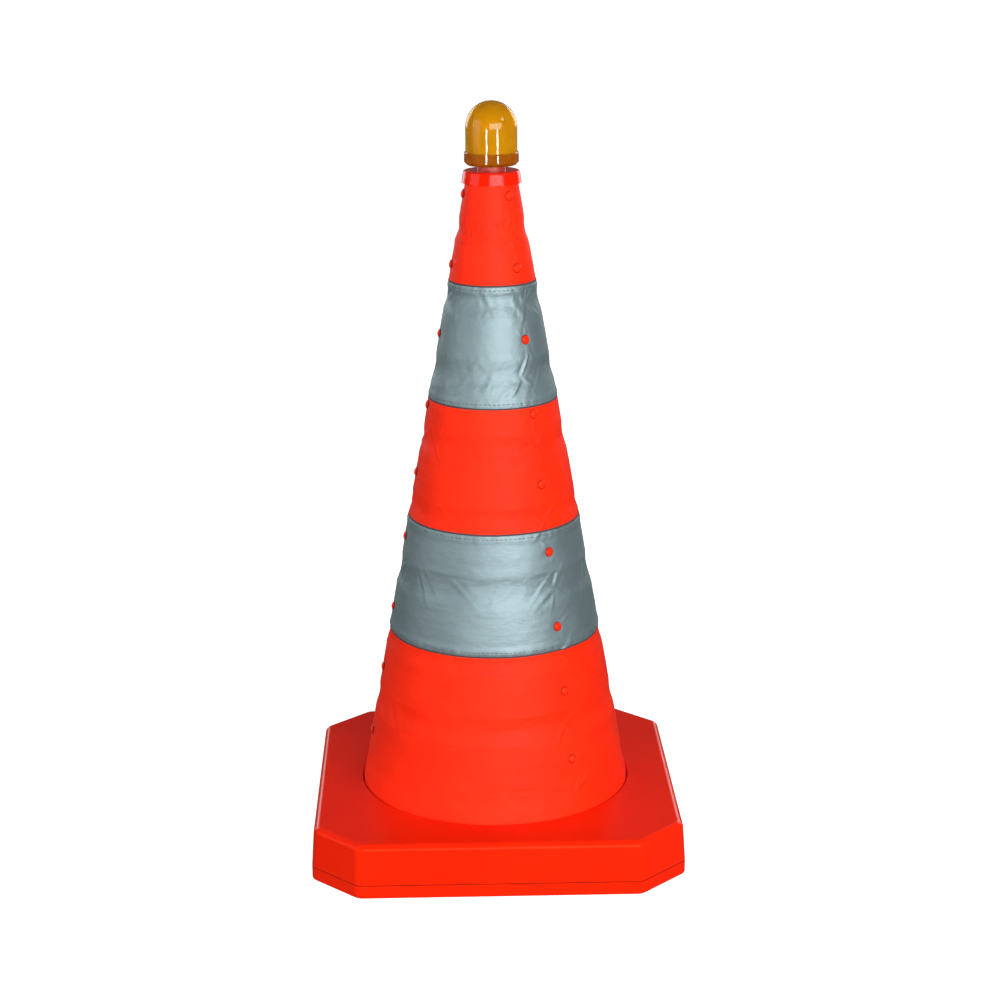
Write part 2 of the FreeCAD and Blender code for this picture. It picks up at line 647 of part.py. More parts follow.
def quarter_arc(radius):
    """Quarter circle of the dome, from the side wall at the shoulder to the axis."""
    reach = radius * math.sqrt(0.5)
    start = FreeCAD.Vector(radius, 0, LENS_SHOULDER)
    half_way = FreeCAD.Vector(reach, 0, LENS_SHOULDER + reach)
    return Part.Arc(start, half_way, FreeCAD.Vector(0, 0, LENS_SHOULDER + radius)).toShape()


def make_switch_wiper():
    """Contact block inside the lens, which meets the board's edge when the lens is turned."""
    block = tube(LENS_RADIUS - LENS_WALL - 0.1, BOARD_RADIUS + 1.0, LENS_LEDGE_TOP + 1.2, LENS_LEDGE_TOP + 4.2)
    wedge = Part.makeBox(30, 5, 20, FreeCAD.Vector(0, -2.5, LENS_LEDGE_TOP - 5))
    return block.common(wedge)


# ---------------------------------------------------------------- write the nodes

os.makedirs("parts", exist_ok=True)

save("base_shell", make_base_shell())
save("base_tray", make_base_tray())
save("base_feet", make_base_feet())
save("tray_screws", make_tray_screws())
save("hem_hoop", make_hem_hoop())
save("hem_screws", make_hem_screws())
save("lift_spring", make_lift_spring())

save(PANEL_NAMES[0], make_bottom_panel())
for name, low, high in zip(PANEL_NAMES[1:], SEAM_HEIGHTS, SEAM_HEIGHTS[1:] + (SLEEVE_TOP,)):
    save(name, make_sleeve_panel(low, high))

for number, rivet_height in enumerate(RIVET_HEIGHTS, start=1):
    save("support_ring_%d" % number, make_support_ring(rivet_height))
    save("ring_%d_rivets" % number, make_rivets(rivet_height))

save("head_socket", make_head_socket())
save("head_collar", make_head_collar())
save("head_rivets", make_rivets(HEAD_RIVET_HEIGHT))

save("lamp_housing", make_lamp_housing())
save("lamp_grip_ring", make_lamp_grip_ring())
save("lamp_seal", make_lamp_seal())
save("battery_cap", make_battery_cap())
save("battery_cells", make_battery_cells())
save("battery_springs", make_battery_springs())
save("contact_plate", make_contact_plate())
save("led_board", make_led_board())
save("leds", make_leds())
save("flasher_chip", make_flasher_chip())
save("lens", make_lens())
save("switch_wiper", make_switch_wiper())
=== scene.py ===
import json
import math

import bpy
import numpy as np
from mathutils import Matrix, Vector


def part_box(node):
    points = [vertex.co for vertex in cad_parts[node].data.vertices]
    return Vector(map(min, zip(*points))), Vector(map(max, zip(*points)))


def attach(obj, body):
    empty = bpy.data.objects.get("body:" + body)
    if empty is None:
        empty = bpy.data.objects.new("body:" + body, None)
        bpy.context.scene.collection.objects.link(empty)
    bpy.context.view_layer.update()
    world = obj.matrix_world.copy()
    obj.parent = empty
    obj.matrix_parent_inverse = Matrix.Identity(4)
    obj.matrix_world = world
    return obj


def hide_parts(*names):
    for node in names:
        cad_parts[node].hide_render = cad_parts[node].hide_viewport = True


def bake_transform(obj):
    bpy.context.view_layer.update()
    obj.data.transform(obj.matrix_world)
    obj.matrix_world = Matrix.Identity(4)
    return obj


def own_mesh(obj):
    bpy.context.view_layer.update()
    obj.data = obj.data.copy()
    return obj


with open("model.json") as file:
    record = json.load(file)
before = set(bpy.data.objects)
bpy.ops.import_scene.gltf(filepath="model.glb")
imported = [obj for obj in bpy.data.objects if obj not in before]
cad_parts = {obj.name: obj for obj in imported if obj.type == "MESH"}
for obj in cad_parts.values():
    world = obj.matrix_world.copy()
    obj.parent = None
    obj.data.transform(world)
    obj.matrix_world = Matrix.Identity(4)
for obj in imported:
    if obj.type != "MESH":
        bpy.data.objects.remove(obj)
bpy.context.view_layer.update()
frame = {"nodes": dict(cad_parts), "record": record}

MM = 0.001
FULL_TURN = 2 * math.pi
RANDOM = np.random.default_rng(7)

# ---------------------------------------------------------------- sizes, from the frame

RING_COUNT = 8
RING_BOXES = [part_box("support_ring_%d" % n) for n in range(1, RING_COUNT + 1)]
RING_LOWS = [low.z for low, high in RING_BOXES]
RING_HIGHS = [high.z for low, high in RING_BOXES]
RIVET_BOXES = [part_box("ring_%d_rivets" % n) for n in range(1, RING_COUNT + 1)] + [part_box("head_rivets")]
RIVET_HEIGHTS = [(low.z + high.z) / 2 for low, high in RIVET_BOXES]
RIVET_COLUMNS = 3
RIVET_COLUMN_PITCH = 360.0 / RIVET_COLUMNS
FIRST_RIVET_DEGREES = -54.0
RIVET_ANGLES = [math.radians(FIRST_RIVET_DEGREES + RIVET_COLUMN_PITCH * n) for n in range(RIVET_COLUMNS)]
HEAD_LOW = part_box("head_socket")[0].z
COLLAR_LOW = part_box("head_collar")[0].z
BASE_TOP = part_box("base_shell")[1].z
SLEEVE_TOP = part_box("sleeve_top_panel")[1].z
PANELS_ABOVE_SEAMS = (
    "sleeve_lower_band",
    "sleeve_middle_panel",
    "sleeve_upper_band",
    "sleeve_top_panel",
)
SEAM_HEIGHTS = [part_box(panel)[0].z for panel in PANELS_ABOVE_SEAMS]

# The sleeve's straight cone, through the radii at the lowest and the highest seam
LOW_SEAM_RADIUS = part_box("sleeve_lower_band")[1].y
HIGH_SEAM_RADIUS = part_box("sleeve_top_panel")[1].y
SLOPE = (LOW_SEAM_RADIUS - HIGH_SEAM_RADIUS) / (SEAM_HEIGHTS[3] - SEAM_HEIGHTS[0])
SLANT = math.hypot(1.0, SLOPE)


def cone_radius(height):
    """Radius of the sleeve's straight cone, as the CAD panels have it."""
    return LOW_SEAM_RADIUS - SLOPE * (height - SEAM_HEIGHTS[0])


# ---------------------------------------------------------------- node helpers


def new_material(name):
    """A material, its node tree and its Principled shader."""
    material = bpy.data.materials.new(name)
    material.use_nodes = True
    tree = material.node_tree
    shader = tree.nodes["Principled BSDF"]
    return material, tree, shader


def add(tree, kind, **inputs):
    """A node with some of its inputs set; underscores in a name stand for spaces."""
    node = tree.nodes.new(kind)
    for name, value in inputs.items():
        node.inputs[name.replace("_", " ")].default_value = value
    return node


def place(tree, source):
    """Texture coordinates in metres: the cloth's own UV, or the object's."""
    return add(tree, "ShaderNodeTexCoord").outputs[source]


def noise(tree, vector, scale, detail=3.0, roughness=0.55):
    """Noise with features about 1/scale metres across."""
    node = add(tree, "ShaderNodeTexNoise", Scale=scale, Detail=detail, Roughness=roughness)
    tree.links.new(vector, node.inputs["Vector"])
    return node.outputs["Fac"]


def stretched(tree, vector, scale):
    """The same coordinates, multiplied by a factor on each axis."""
    node = add(tree, "ShaderNodeMapping", Scale=scale)
    tree.links.new(vector, node.inputs["Vector"])
    return node.outputs["Vector"]


def waves(tree, vector, scale, direction, distortion=0.0):
    """Even stripes with a period of about 0.314/scale metres."""
    node = add(tree, "ShaderNodeTexWave", Scale=scale, Distortion=distortion)
    node.bands_direction = direction
    tree.links.new(vector, node.inputs["Vector"])
    return node.outputs["Fac"]


def ramp(tree, value, stops):
    """Colours along a value from 0 to 1."""
    node = tree.nodes.new("ShaderNodeValToRGB")
    elements = node.color_ramp.elements
    elements[0].position, elements[0].color = stops[0][0], (*stops[0][1], 1)
    elements[1].position, elements[1].color = stops[-1][0], (*stops[-1][1], 1)
    for position, colour in stops[1:-1]:
        elements.new(position).color = (*colour, 1)
    tree.links.new(value, node.inputs["Fac"])
    return node.outputs["Color"]


def mapped(tree, value, low, high):
    """A value from 0 to 1, moved to a range."""
    node = add(tree, "ShaderNodeMapRange", To_Min=low, To_Max=high)
    tree.links.new(value, node.inputs["Value"])
    return node.outputs["Result"]


def blended(tree, kind, a, b, share=1.0):
    """Two colours mixed."""
    node = tree.nodes.new("ShaderNodeMixRGB")
    node.blend_type = kind
    node.inputs["Fac"].default_value = share
    tree.links.new(a, node.inputs["Color1"])
    tree.links.new(b, node.inputs["Color2"])
    return node.outputs["Color"]


def faded(tree, value, start, end, before, after):
    """One colour up to the start of a stretch, another from its end on."""
    share = add(tree, "ShaderNodeMapRange", From_Min=start, From_Max=end)
    tree.links.new(value, share.inputs["Value"])
    node = tree.nodes.new("ShaderNodeMixRGB")
    for source, name in ((share.outputs["Result"], "Fac"), (before, "Color1"), (after, "Color2")):
        tree.links.new(source, node.inputs[name])
    return node.outputs["Color"]


def height_in(tree, vector):
    """The Z of some coordinates."""
    node = tree.nodes.new("ShaderNodeSeparateXYZ")
    tree.links.new(vector, node.inputs["Vector"])
    return node.outputs["Z"]


def computed(tree, operation, *values):
    """A Math node on links and plain numbers."""
    node = tree.nodes.new("ShaderNodeMath")
    node.operation = operation
    for number, value in enumerate(values):
        if isinstance(value, float):
            node.inputs[number].default_value = value
        else:
            tree.links.new(value, node.inputs[number])
    return node.outputs["Value"]


def bumps(tree, shader, layers):
    """Chains height layers, each (value, depth in metres, strength), into the shader's normal."""
    normal = None
    for value, depth, strength in layers:
        node = add(tree, "ShaderNodeBump", Strength=strength, Distance=depth)
        tree.links.new(value, node.inputs["Height"])
        if normal is not None:
            tree.links.new(normal, node.inputs["Normal"])
        normal = node.outputs["Normal"]
    tree.links.new(normal, shader.inputs["Normal"])


# ---------------------------------------------------------------- materials

PARTING_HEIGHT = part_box("base_tray")[1].z
# Painted shade round the parting line: full within the first distance, gone beyond the second
PARTING_SHADE_REACH = (0.2 * MM, 0.45 * MM)
LENS_FLANGE_HEIGHT = 10.8 * MM
LENS_FLANGE_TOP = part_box("lens")[0].z + LENS_FLANGE_HEIGHT
LENS_FLANGE_FADE = 1.5 * MM
# Heights above the cloth over which the painted shade round each rivet head fades out
RIVET_RIM_RISE = 0.3 * MM
RIVET_FACE_RISE = 1.1 * MM
COLOUR_STOPS = (0.3, 0.7)
WEAVE_SCALE = 520.0


def drifting(tree, value, dark, light):
    """A colour that drifts between a darker and a lighter one."""
    return ramp(tree, value, [(COLOUR_STOPS[0], dark), (COLOUR_STOPS[1], light)])


def coated_cloth(name, dark, light, roughness, metallic, gloss):
    """Coated woven cloth: fine weave, small creases, faint soiling."""
    material, tree, shader = new_material(name)
    uv = place(tree, "UV")
    tint = noise(tree, uv, 22.0, 4.0)
    fine = noise(tree, uv, 160.0, 3.0)
    tree.links.new(drifting(tree, tint, dark, light), shader.inputs["Base Color"])
    tree.links.new(mapped(tree, tint, roughness - 0.06, roughness + 0.08), shader.inputs["Roughness"])
    shader.inputs["Metallic"].default_value = metallic
    shader.inputs["Specular IOR Level"].default_value = gloss
    creases = noise(tree, stretched(tree, uv, (40.0, 95.0, 1.0)), 1.0, 5.0, 0.6)
    weft = waves(tree, uv, WEAVE_SCALE, "X")
    warp = waves(tree, uv, WEAVE_SCALE, "Y")
    weave = blended(tree, "MULTIPLY", weft, warp)
    bumps(tree, shader, [(creases, 0.9 * MM, 0.7), (fine, 0.25 * MM, 0.5), (weave, 0.06 * MM, 0.5)])
    return material


def moulded_plastic(name, dark, light, roughness, coat=0.0, ripple=0.15 * MM,
                    tint=(1.0, 1.0, 1.0), gloss=0.5):
    """Moulded plastic: slight colour drift, a faint ripple from the mould, fine scuffs."""
    material, tree, shader = new_material(name)
    where = place(tree, "Object")
    drift = noise(tree, where, 9.0, 3.0)
    tree.links.new(drifting(tree, drift, dark, light), shader.inputs["Base Color"])
    scuff = noise(tree, stretched(tree, where, (140.0, 140.0, 700.0)), 1.0, 4.0, 0.7)
    tree.links.new(mapped(tree, scuff, roughness - 0.04, roughness + 0.08), shader.inputs["Roughness"])
    shader.inputs["Specular Tint"].default_value = (*tint, 1)
    shader.inputs["Specular IOR Level"].default_value = gloss
    shader.inputs["Coat Weight"].default_value = coat
    shader.inputs["Coat Roughness"].default_value = 0.06
    swell = noise(tree, where, 30.0, 2.0)
    grain = noise(tree, where, 900.0, 2.0)
    bumps(tree, shader, [(swell, ripple, 0.4), (grain, 0.02 * MM, 0.3)])
    return material


def base_plastic():
    """Glossy orange plastic, with painted shade in a thin band along the line where the shell meets the
    tray.
    """
    material = moulded_plastic("glossy_orange", (0.80, 0.0145, 0.0020), (0.88, 0.0185, 0.0026), 0.20,
                               ripple=0.1 * MM, tint=(1.0, 0.3, 0.12), gloss=0.18)
    tree = material.node_tree
    base_colour = tree.nodes["Principled BSDF"].inputs["Base Color"]
    unshaded = base_colour.links[0].from_socket
    where = place(tree, "Object")
    away = computed(tree, "ABSOLUTE", computed(tree, "SUBTRACT", height_in(tree, where), PARTING_HEIGHT))
    # Painted shade: near-black colour along the parting line, standing in for the shadow in the groove
    painted_shade = drifting(tree, noise(tree, where, 200.0), (0.10, 0.006, 0.003), (0.20, 0.008, 0.003))
    tree.links.new(faded(tree, away, *PARTING_SHADE_REACH, painted_shade, unshaded), base_colour)
    return material


def collar_plastic():
    """The collar's glossy plastic, thin enough for some light to spread through it."""
    material = moulded_plastic("collar_orange", (0.90, 0.010, 0.0005), (0.98, 0.014, 0.001), 0.12,
                               ripple=0.05 * MM, gloss=0.18)
    shader = material.node_tree.nodes["Principled BSDF"]
    shader.inputs["Subsurface Weight"].default_value = 0.4
    shader.inputs["Subsurface Radius"].default_value = (1.0, 0.12, 0.05)
    shader.inputs["Subsurface Scale"].default_value = 8 * MM
    return material


def amber_lens():
    """Clear amber plastic, darker in its thick flange, with a faint ripple."""
    material, tree, shader = new_material("amber_lens")
    where = place(tree, "Object")
    depth = noise(tree, where, 60.0, 2.0)
    dome = drifting(tree, depth, (0.68, 0.33, 0.0003), (0.80, 0.39, 0.0006))
    flange = drifting(tree, depth, (0.46, 0.12, 0.001), (0.54, 0.15, 0.002))
    colour = faded(tree, height_in(tree, where), LENS_FLANGE_TOP, LENS_FLANGE_TOP + LENS_FLANGE_FADE,
                   flange, dome)
    tree.links.new(colour, shader.inputs["Base Color"])
    tree.links.new(mapped(tree, depth, 0.06, 0.10), shader.inputs["Roughness"])
    shader.inputs["Specular IOR Level"].default_value = 0.045
    shader.inputs["Transmission Weight"].default_value = 0.55
    shader.inputs["IOR"].default_value = 1.49
    bumps(tree, shader, [(noise(tree, where, 220.0, 2.0), 0.05 * MM, 0.3)])
    return material


def rivet_plastic():
    """Rivet plastic, with painted shade round the edge of each head, where it meets the cloth."""
    material, tree, shader = new_material("rivet_orange")
    where = place(tree, "Object")
    drift = noise(tree, where, 300.0, 2.0)
    face = drifting(tree, drift, (0.88, 0.020, 0.003), (0.96, 0.024, 0.004))
    # Painted shade: dark colour round the edge of each head, standing in for the contact shadow on the
    # cloth
    rim_painted_shade = drifting(tree, drift, (0.20, 0.010, 0.003), (0.26, 0.014, 0.004))
    from_axis = tree.nodes.new("ShaderNodeVectorMath")
    from_axis.operation = "LENGTH"
    tree.links.new(stretched(tree, where, (1.0, 1.0, 0.0)), from_axis.inputs[0])
    out = from_axis.outputs["Value"]
    above_cone = computed(tree, "MULTIPLY_ADD", height_in(tree, where), SLOPE, out)
    cloth = cone_radius(0.0)
    colour = faded(tree, above_cone, cloth + RIVET_RIM_RISE, cloth + RIVET_FACE_RISE, rim_painted_shade, face)
    tree.links.new(colour, shader.inputs["Base Color"])
    tree.links.new(mapped(tree, drift, 0.45, 0.6), shader.inputs["Roughness"])
    shader.inputs["Specular Tint"].default_value = (1.0, 0.3, 0.15, 1)
    bumps(tree, shader, [(noise(tree, where, 900.0, 2.0), 0.02 * MM, 0.3)])
    return material


def clear_epoxy():
    """Clear LED resin with a faint warm tint."""
    material, tree, shader = new_material("led_resin")
    where = place(tree, "Object")
    cloud = noise(tree, where, 400.0, 2.0)
    resin = drifting(tree, cloud, (0.95, 0.8, 0.5), (1.0, 0.88, 0.62))
    tree.links.new(resin, shader.inputs["Base Color"])
    tree.links.new(mapped(tree, cloud, 0.05, 0.12), shader.inputs["Roughness"])
    shader.inputs["Transmission Weight"].default_value = 0.8
    return material


def drawn_metal(name, dark, light, roughness):
    """Bare or plated metal with drawing marks and dull spots."""
    material, tree, shader = new_material(name)
    where = place(tree, "Object")
    spots = noise(tree, where, 260.0, 4.0)
    marks = noise(tree, stretched(tree, where, (300.0, 300.0, 2400.0)), 1.0, 3.0)
    tree.links.new(drifting(tree, spots, dark, light), shader.inputs["Base Color"])
    tree.links.new(mapped(tree, spots, roughness - 0.06, roughness + 0.12), shader.inputs["Roughness"])
    shader.inputs["Metallic"].default_value = 1.0
    bumps(tree, shader, [(marks, 0.03 * MM, 0.4)])
    return material


def black_rubber():
    """Matt rubber with a fine grain and pale dust."""
    material, tree, shader = new_material("black_rubber")
    where = place(tree, "Object")
    dust = noise(tree, where, 70.0, 5.0)
    tree.links.new(ramp(tree, dust, [(0.35, (0.018, 0.018, 0.018)), (0.75, (0.05, 0.048, 0.045))]),
                   shader.inputs["Base Color"])
    tree.links.new(mapped(tree, dust, 0.7, 0.9), shader.inputs["Roughness"])
    bumps(tree, shader, [(noise(tree, where, 1500.0, 3.0), 0.05 * MM, 0.6)])
    return material


def stitching_thread(name, dark, light):
    """Twisted sewing thread."""
    material, tree, shader = new_material(name)
    where = place(tree, "Object")
    twist = waves(tree, where, 420.0, "DIAGONAL", 1.0)
    tree.links.new(ramp(tree, twist, [(0.2, dark), (0.8, light)]), shader.inputs["Base Color"])
    tree.links.new(mapped(tree, twist, 0.55, 0.8), shader.inputs["Roughness"])
    bumps(tree, shader, [(twist, 0.1 * MM, 0.6)])
    return material


ORANGE_CLOTH = coated_cloth("orange_cloth", (0.90, 0.020, 0.002), (1.0, 0.026, 0.003), 0.55, 0.0, 0.12)
GREY_CLOTH = coated_cloth("reflective_cloth", (0.20, 0.27, 0.29), (0.235, 0.315, 0.335), 0.54, 0.7, 0.4)
GLOSSY_ORANGE = base_plastic()
COLLAR_ORANGE = collar_plastic()
RIVET_ORANGE = rivet_plastic()
RING_ORANGE = moulded_plastic("ring_orange", (0.62, 0.03, 0.008), (0.74, 0.04, 0.01), 0.5)
SOCKET_BROWN = moulded_plastic("socket_plastic", (0.40, 0.045, 0.03), (0.48, 0.06, 0.04), 0.45)
LAMP_BROWN = moulded_plastic("lamp_plastic", (0.36, 0.035, 0.028), (0.46, 0.05, 0.042), 0.4)
AMBER_LENS = amber_lens()
LED_RESIN = clear_epoxy()
SPRING_STEEL = drawn_metal("spring_steel", (0.36, 0.36, 0.37), (0.55, 0.55, 0.56), 0.32)
SCREW_STEEL = drawn_metal("screw_steel", (0.52, 0.52, 0.50), (0.70, 0.69, 0.66), 0.28)
CONTACT_BRASS = drawn_metal("contact_metal", (0.62, 0.45, 0.18), (0.80, 0.62, 0.30), 0.25)
CELL_JACKET = moulded_plastic("cell_jacket", (0.03, 0.03, 0.035), (0.05, 0.05, 0.055), 0.3, 0.4)
BOARD_GREEN = moulded_plastic("board_green", (0.01, 0.09, 0.03), (0.015, 0.13, 0.045), 0.35, 0.3)
CHIP_BLACK = moulded_plastic("chip_black", (0.012, 0.012, 0.012), (0.02, 0.02, 0.02), 0.5)
BLACK_RUBBER = black_rubber()
ORANGE_THREAD = stitching_thread("orange_thread", (0.45, 0.02, 0.005), (0.8, 0.05, 0.02))
GREY_THREAD = stitching_thread("grey_thread", (0.05, 0.07, 0.075), (0.15, 0.19, 0.20))
# Painted shade: near-black cloth for the bead at each grey band's edge, standing in for the shadow along
# the seam
PAINTED_SEAM_SHADE = coated_cloth("painted_shade_band_edge", (0.04, 0.032, 0.036), (0.09, 0.07, 0.075), 0.7, 0.0, 0.2)

MATERIAL_OF_SLOT = {
    "orange_plastic": GLOSSY_ORANGE,
    "orange_fabric": ORANGE_CLOTH,
    "reflective_band": GREY_CLOTH,
    "rivet_plastic": RIVET_ORANGE,
    "ring_plastic": RING_ORANGE,
    "socket_plastic": SOCKET_BROWN,
    "lamp_plastic": LAMP_BROWN,
    "amber_lens": AMBER_LENS,
    "led_clear": LED_RESIN,
    "spring_steel": SPRING_STEEL,
    "screw_steel": SCREW_STEEL,
    "contact_metal": CONTACT_BRASS,
    "cell_jacket": CELL_JACKET,
    "board_green": BOARD_GREEN,
    "chip_black": CHIP_BLACK,
    "black_rubber": BLACK_RUBBER,
}


def finish_cad_nodes():
    """Gives every CAD node the material of its slot; the collar has a glossier one."""
    slots = {row["node"]: row["material_slot"] for row in frame["record"]["subparts"]}
    for name, thing in frame["nodes"].items():
        material = COLLAR_ORANGE if name == "head_collar" else MATERIAL_OF_SLOT[slots[name]]
        if not thing.material_slots:
            thing.data.materials.append(material)
        for slot in thing.material_slots:
            slot.material = material


# ---------------------------------------------------------------- sleeve surface

COLUMNS = 384
ROW_STEP = 1.7 * MM
FEWEST_ROW_STEPS = 2
ROW_TOLERANCE = 1e-7
SHORTEST_PIECE = 3 * MM
HEM_LOW = BASE_TOP - 7 * MM
HEM_CLEARANCE = 0.3 * MM
ON_RING = -0.15 * MM
SLACK_DEPTH = -2.0 * MM
DEEPEST = -5 * MM
LOWEST_ON_RING = -0.45 * MM
SLANT_OFF_RING = 0.7
RING_EDGE_MARGIN = 1 * MM
PROFILE_STEP = 0.25 * MM
PROFILE_SMOOTHING = 5 * MM
SMOOTHING_STEPS = 48


def ring_profile():
    """Radial offset of the cloth from the straight cone, by height: tight on each ring, and drawn
    in between one ring and the next."""
    knots = [
        (HEM_LOW - 1, 0.0),
        (BASE_TOP, -0.1 * MM),
        (BASE_TOP + 8 * MM, -0.3 * MM),
        (RING_LOWS[0] - 12 * MM, -0.9 * MM),
    ]
    for low, high in zip(RING_LOWS + [HEAD_LOW], RING_HIGHS + [COLLAR_LOW]):
        if low > RING_LOWS[0]:
            knots.append((low - 9 * MM, SLACK_DEPTH))
        knots.extend([
            (low - 2 * MM, -0.5 * MM),
            ((low + high) / 2, ON_RING),
            (high + 2 * MM, ON_RING),
            (high + 11 * MM, SLACK_DEPTH),
        ])
    knots = [knot for knot in knots if knot[0] < COLLAR_LOW]
    knots.append((SLEEVE_TOP + 30 * MM, ON_RING))
    heights = np.arange(HEM_LOW - 10 * MM, SLEEVE_TOP + 10 * MM, PROFILE_STEP)
    offsets = np.interp(heights, [knot[0] for knot in knots], [knot[1] for knot in knots])
    reach = np.arange(-SMOOTHING_STEPS, SMOOTHING_STEPS + 1) * PROFILE_STEP
    kernel = np.exp(-(reach / PROFILE_SMOOTHING) ** 2)
    padded = np.pad(offsets, SMOOTHING_STEPS, mode="edge")
    smooth = np.convolve(padded, kernel / kernel.sum(), mode="valid")
    return heights, smooth


def wrapped(angle):
    """An angle brought to -pi..pi."""
    return (angle + math.pi) % FULL_TURN - math.pi


FOLD_FADE = 0.8
HOLLOW_DEPTH = 0.55
HOLLOW_ASIDE = 1.9
HOLLOW_WIDTH = 1.1
SHORTEST_FOLD = 1e-6


def fold(offset, angles, heights, start, end, height, width):
    """Adds one fold, a ridge with a hollow beside it, between two (angle, height) points."""
    middle_angle = start[0] + wrapped(end[0] - start[0]) / 2
    radius = cone_radius((start[1] + end[1]) / 2)
    across = wrapped(angles[None, :] - middle_angle) * radius
    up = heights[:, None] - (start[1] + end[1]) / 2
    run = np.array([wrapped(end[0] - start[0]) * radius, end[1] - start[1]])
    length = max(float(np.hypot(*run)), SHORTEST_FOLD)
    run = run / length
    along = (across * run[0] + up * run[1]) / length
    aside = across * -run[1] + up * run[0]
    envelope = np.clip(1 - (2 * along) ** 2, 0, 1) ** FOLD_FADE
    ridge = np.exp(-(aside / width) ** 2)
    hollow = HOLLOW_DEPTH * np.exp(-((aside - HOLLOW_ASIDE * width) / (HOLLOW_WIDTH * width)) ** 2)
    offset += height * envelope * (ridge - hollow)


def ripples(angles, heights, count, waves_round, waves_up, amplitude):
    """Smooth random ripples that close round the sleeve."""
    total = np.zeros((len(heights), len(angles)))
    for _ in range(count):
        round_count = int(RANDOM.integers(-waves_round, waves_round + 1))
        up_count = RANDOM.uniform(-waves_up, waves_up)
        phase = RANDOM.uniform(0, FULL_TURN)
        total += np.cos(round_count * angles[None, :] + FULL_TURN * up_count * heights[:, None] + phase)
    return total * amplitude / math.sqrt(count / 2)


COLLAR_HEIGHT = 20 * MM
FREE_REACH = 9 * MM
FREE_START = 2 * MM
HEM_REACH = 12 * MM


def slack_share(heights):
    """How free the cloth is at each height: 0 on a ring, 1 between rings."""
    free = np.ones(len(heights))
    for low, high in zip(RING_LOWS + [HEAD_LOW], RING_HIGHS + [COLLAR_LOW + COLLAR_HEIGHT]):
        inside = np.minimum(heights - low, high - heights)
        free = np.minimum(free, np.clip(1 - (inside + FREE_START) / FREE_REACH, 0, 1))
    hem = np.clip((heights - BASE_TOP) / HEM_REACH, 0, 1)
    return np.minimum(free, hem)


def drawn_mm(span):
    """A random length from a range in millimetres."""
    return RANDOM.uniform(*span) * MM


FAN_FOLDS = 7
FAN_HUB_SPREAD = 4 * MM
FAN_HUB_SHIFT_MM = (-4, 4)
FAN_HEADING = (0.35, 1.25)
FAN_REACH_MM = (14, 34)
FAN_HEIGHT_MM = (0.25, 0.6)
FAN_WIDTH_MM = (1.3, 2.6)
FEWEST_LOOSE_FOLDS = 6
LOOSE_FOLD_PITCH = 14 * MM
LOOSE_LEAN_MM = (7, 20)
LOOSE_INSET_MM = (0, 8)
LOOSE_HEIGHT_MM = (0.15, 0.4)
LOOSE_WIDTH_MM = (1.5, 3.0)
SIDES = (-1, 1)


def add_drag_folds(offset, angles, heights):
    """Folds where the slack cloth is dragged from ring to ring: fans that meet between two rivets of
    a column, and loose slanting folds elsewhere."""
    tops = [BASE_TOP] + RING_HIGHS
    bottoms = RING_LOWS + [HEAD_LOW]
    for top, bottom in zip(tops, bottoms):
        radius = cone_radius(top)
        middle = (top + bottom) / 2
        for column in RIVET_ANGLES:
            hub_angle = column + RANDOM.normal(0, FAN_HUB_SPREAD) / radius
            hub = (hub_angle, middle + drawn_mm(FAN_HUB_SHIFT_MM))
            for _ in range(FAN_FOLDS):
                heading = RANDOM.choice(SIDES) * RANDOM.uniform(*FAN_HEADING)
                reach = drawn_mm(FAN_REACH_MM)
                up = RANDOM.choice(SIDES) * abs(math.cos(heading))
                tip = (hub[0] + math.sin(heading) * reach / radius, hub[1] + up * reach)
                height = drawn_mm(FAN_HEIGHT_MM)
                fold(offset, angles, heights, hub, tip, height, drawn_mm(FAN_WIDTH_MM))
        for _ in range(int(FEWEST_LOOSE_FOLDS + radius / LOOSE_FOLD_PITCH)):
            angle = RANDOM.uniform(-math.pi, math.pi)
            lean = RANDOM.choice(SIDES) * drawn_mm(LOOSE_LEAN_MM) / radius
            start = (angle - lean, top - drawn_mm(LOOSE_INSET_MM))
            end = (angle + lean, bottom + drawn_mm(LOOSE_INSET_MM))
            height = drawn_mm(LOOSE_HEIGHT_MM)
            fold(offset, angles, heights, start, end, height, drawn_mm(LOOSE_WIDTH_MM))


RIVET_DISH_DEPTH = -0.35 * MM
RIVET_DISH_RADIUS = 6.0 * MM
PULL_FOLDS = 4
PULL_START = 4 * MM
PULL_REACH_MM = (9, 20)
PULL_HEIGHT_MM = (0.15, 0.35)
PULL_WIDTH_MM = (1.2, 2.2)


def add_rivet_pulls(offset, angles, heights):
    """Short tight folds that spread from each rivet, and the shallow dish that it sits in."""
    for height in RIVET_HEIGHTS:
        radius = cone_radius(height)
        for angle in RIVET_ANGLES:
            across = wrapped(angles[None, :] - angle) * radius
            up = heights[:, None] - height
            distance = np.hypot(across, up)
            offset += RIVET_DISH_DEPTH * np.exp(-(distance / RIVET_DISH_RADIUS) ** 4)
            for _ in range(PULL_FOLDS):
                heading = RANDOM.uniform(0, FULL_TURN)
                reach = drawn_mm(PULL_REACH_MM)
                round_way, up_way = math.cos(heading), math.sin(heading)
                far = (angle + round_way * reach / radius, height + up_way * reach)
                near = (angle + round_way * PULL_START / radius, height + up_way * PULL_START)
                fold_height = drawn_mm(PULL_HEIGHT_MM)
                fold(offset, angles, heights, near, far, fold_height, drawn_mm(PULL_WIDTH_MM))


TURNED_EDGE_RISE = 0.38 * MM
TURNED_EDGE_WIDTH = 7 * MM
TURNED_EDGE_FADE = 1.5 * MM
SEAM_GROOVE_DEPTH = -0.45 * MM
SEAM_GROOVE_WIDTH = 0.8 * MM
PUCKER_PITCH = 9 * MM
PUCKER_HEIGHT = 0.16 * MM
PUCKER_REACH = 6 * MM
PUCKER_DRIFT = 1.5
PUCKER_DRIFTS_ROUND = 7
LONG_PUCKER_SHARE = 0.6


